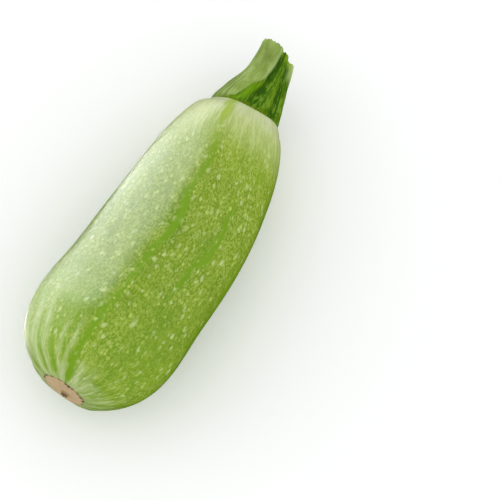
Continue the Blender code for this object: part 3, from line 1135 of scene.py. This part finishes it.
def make_cork(mottle, flecks):
    """Corky scar: beige, brown spots round the rim, dark torn nub."""
    material, tree, surface = start_material("corky_scar", 0.8)
    flow = attribute(tree, "scar_flow")
    spot, share, _ = parts_of(tree, attribute(tree, "scar_marks"))
    cloud = use_group(tree, mottle, Flow=flow, Size=0.0022, Stretch=1.0, Level=0.5, Softness=0.2)
    grit = use_group(tree, mottle, Flow=flow, Size=0.0006, Stretch=1.0, Level=0.52, Softness=0.12)
    freckles = use_group(tree, flecks, Flow=flow, Size=0.0026, Stretch=1.0, Radius=0.25, Share=0.35)
    cork = blend(tree, cloud, CORK_TAN, CORK_BEIGE)
    cork = blend(tree, times(tree, grit, 0.35), cork, CORK_GRIT)
    cork = blend(tree, times(tree, freckles, 0.4), cork, CORK_FRECKLE)
    cork = blend(tree, times(tree, spread(tree, share, 0.85, 0.96), 0.6), cork, CORK_RIM)
    ragged = maths(tree, "SUBTRACT", spot, times(tree, grit, 0.3))
    cork = blend(tree, spread(tree, ragged, 0.15, 0.65, 0.0, 0.9), cork, CORK_DARK)
    dress(tree, surface, cork, maths(tree, "ADD", grit, cloud), 0.5, 0.00015)
    return material


def make_floor_paint():
    material, tree, surface = start_material("pale_floor", 0.9)
    place = tree.nodes.new("ShaderNodeTexCoord").outputs["Object"]
    shade = blend(tree, noise(tree, place, 1.5), FLOOR_PALE, FLOOR_PALER)
    feed(tree, surface.inputs["Base Color"], shade)
    surface.inputs["Specular IOR Level"].default_value = 0.0
    return material


# Stage and lights. Lamps stand round the subject, and the walls share one shift and width
FLOOR_HALF = 4.0
PICTURE_LEFT = Vector((-0.534, 0.845, 0.0))
PICTURE_UP = Vector((0.822, 0.520, 0.232))
SUBJECT = Vector((-0.005, 0.0, 0.035))
KEY_SIZE = (0.95, 0.65)
KEY_RADIANCE = 0.6
ROOM_TINT = (0.99, 1.0, 1.0, 1.0)
ROOM_LEFT = 0.97
ROOM_RIGHT = 1.16
WALL_DISTANCE = 1.1
WALL_SHIFT = 1.29
WALL_WIDTH = 1.02

# Walls that the skin mirrors: name, elevation in degrees, height, radiance
WALLS = (
    ("low_wall", 12.0, 0.68, 6.5),
    ("high_wall", 41.0, 0.46, 5.5),
    ("canopy", 63.0, 0.46, 5.8),
)

# Bright fields on the floor that it mirrors: name, place to the left, place upwards,
# place towards the blossom end, width, depth, radiance
FLOOR_FIELDS = (
    ("left_floor", 1.1445, -0.033, 1.355, 2.6, 2.2, 3.4),
    ("neck_floor", 0.562, -0.034, 0.652, 1.2, 1.1, 1.9),
    ("edge_floor", 0.134, -0.034, -0.005, 0.12, 0.132, 1.5),
)


def make_floor():
    mesh = bpy.data.meshes.new("floor")
    half = FLOOR_HALF
    mesh.from_pydata(
        [(-half, -half, 0.0), (half, -half, 0.0), (half, half, 0.0), (-half, half, 0.0)],
        [],
        [(0, 1, 2, 3)],
    )
    floor = bpy.data.objects.new("floor", mesh)
    bpy.context.scene.collection.objects.link(floor)
    mesh.materials.append(make_floor_paint())
    floor.visible_glossy = False


def add_soft_box(name, place, facing, width, height, radiance, mirrored):
    """Flat lamp that gives either the soft light or only what the skin mirrors."""
    lamp = bpy.data.lights.new(name, "AREA")
    lamp.shape = "RECTANGLE"
    lamp.size = width
    lamp.size_y = height
    lamp.energy = radiance * math.pi * width * height
    lamp.cycles.use_multiple_importance_sampling = not mirrored
    box = bpy.data.objects.new(name, lamp)
    across = PICTURE_LEFT.cross(Vector((0.0, 0.0, 1.0)))
    upward = facing.cross(across).normalized()
    turn = Matrix((across, upward, -facing.normalized())).transposed()
    box.matrix_world = Matrix.Translation(SUBJECT + place) @ turn.to_4x4()
    box.visible_camera = False
    box.visible_diffuse = not mirrored
    box.visible_glossy = mirrored
    bpy.context.scene.collection.objects.link(box)


def make_room():
    """Even soft light all round, which the skin doesn't mirror."""
    world = bpy.data.worlds.new("soft_room")
    bpy.context.scene.world = world
    world.use_nodes = True
    tree = world.node_tree
    direction = tree.nodes.new("ShaderNodeTexCoord").outputs["Generated"]
    leftward = vector_maths(tree, "DOT_PRODUCT", direction, PICTURE_LEFT)
    background = tree.nodes["Background"]
    background.inputs["Color"].default_value = ROOM_TINT
    strength = spread(tree, leftward, -1.0, 1.0, ROOM_RIGHT, ROOM_LEFT)
    feed(tree, background.inputs["Strength"], strength)
    world.cycles_visibility.glossy = False


def make_lights():
    """A small key lamp, and the bright walls and floor that the left side mirrors."""
    up = Vector((0.0, 0.0, 1.0))
    key = 0.80 * PICTURE_LEFT + 0.20 * PICTURE_UP + 0.42 * up
    add_soft_box("key_box", key, -key, *KEY_SIZE, KEY_RADIANCE, False)
    along = PICTURE_LEFT.cross(up)
    for name, elevation, height, radiance in WALLS:
        rise = math.radians(elevation)
        wall = WALL_DISTANCE * (math.cos(rise) * PICTURE_LEFT + math.sin(rise) * up)
        add_soft_box(name, wall + WALL_SHIFT * along, -wall, WALL_WIDTH, height, radiance, True)
    for name, leftward, upward, shift, width, depth, radiance in FLOOR_FIELDS:
        place = leftward * PICTURE_LEFT + upward * up + shift * along
        add_soft_box(name, place, up, width, depth, radiance, True)


# The camera looks down at the body from its blossom side
VIEW_DISTANCE = 1.2
METRES_PER_PIXEL = 0.000458
PICTURE_SIZE = 500.0
MIDDLE_IN_PICTURE = (154.8, 251.7)
FORESHORTENING = math.radians(13.5)
AXIS_IN_PICTURE = math.radians(56.7)
SENSOR_WIDTH = 36.0


def make_camera():
    """Aims so that the body's middle and long axis fall where the picture has them."""
    heading = math.asin(math.cos(FORESHORTENING) * math.cos(AXIS_IN_PICTURE) / math.cos(PITCH))
    level = math.cos(heading) * math.cos(PITCH)
    drop = math.sin(PITCH)
    steepness = math.acos(math.sin(FORESHORTENING) / math.hypot(level, drop))
    steepness = steepness + math.atan2(drop, level)
    forward = Vector((
        math.cos(heading) * math.cos(steepness),
        math.sin(heading) * math.cos(steepness),
        -math.sin(steepness),
    ))
    right = Vector((math.sin(heading), -math.cos(heading), 0.0))
    up = right.cross(forward)
    middle = Vector(centre_line(np.array([BODY_MIDDLE]))[0].tolist())
    middle.y = START[1]
    focal = VIEW_DISTANCE / METRES_PER_PIXEL
    off_right = PICTURE_SIZE / 2 - MIDDLE_IN_PICTURE[0]
    off_up = MIDDLE_IN_PICTURE[1] - PICTURE_SIZE / 2
    aim = (forward * focal + right * off_right + up * off_up).normalized()
    side = aim.cross(up).normalized()
    top = side.cross(aim)
    data = bpy.data.cameras.new("camera")
    data.sensor_width = SENSOR_WIDTH
    data.lens = focal / PICTURE_SIZE * SENSOR_WIDTH
    data.clip_start = 0.05
    data.clip_end = 20.0
    camera = bpy.data.objects.new("camera", data)
    turn = Matrix((side, top, -aim)).transposed()
    camera.matrix_world = Matrix.Translation(middle - forward * VIEW_DISTANCE) @ turn.to_4x4()
    bpy.context.scene.collection.objects.link(camera)
    bpy.context.scene.camera = camera


make_camera()
make_floor()
make_room()
make_lights()
mottle_group = make_mottle_group()
fleck_group = make_fleck_group()
place_piece(body_surface(), "fruit", make_skin(mottle_group, fleck_group))
place_piece(stem_surface(), "stem", make_stem_finish(mottle_group, fleck_group))
place_piece(scar_surface(), "blossom_scar", make_cork(mottle_group, fleck_group))
bpy.context.scene.view_settings.view_transform = "Standard"
bpy.context.view_layer.update()
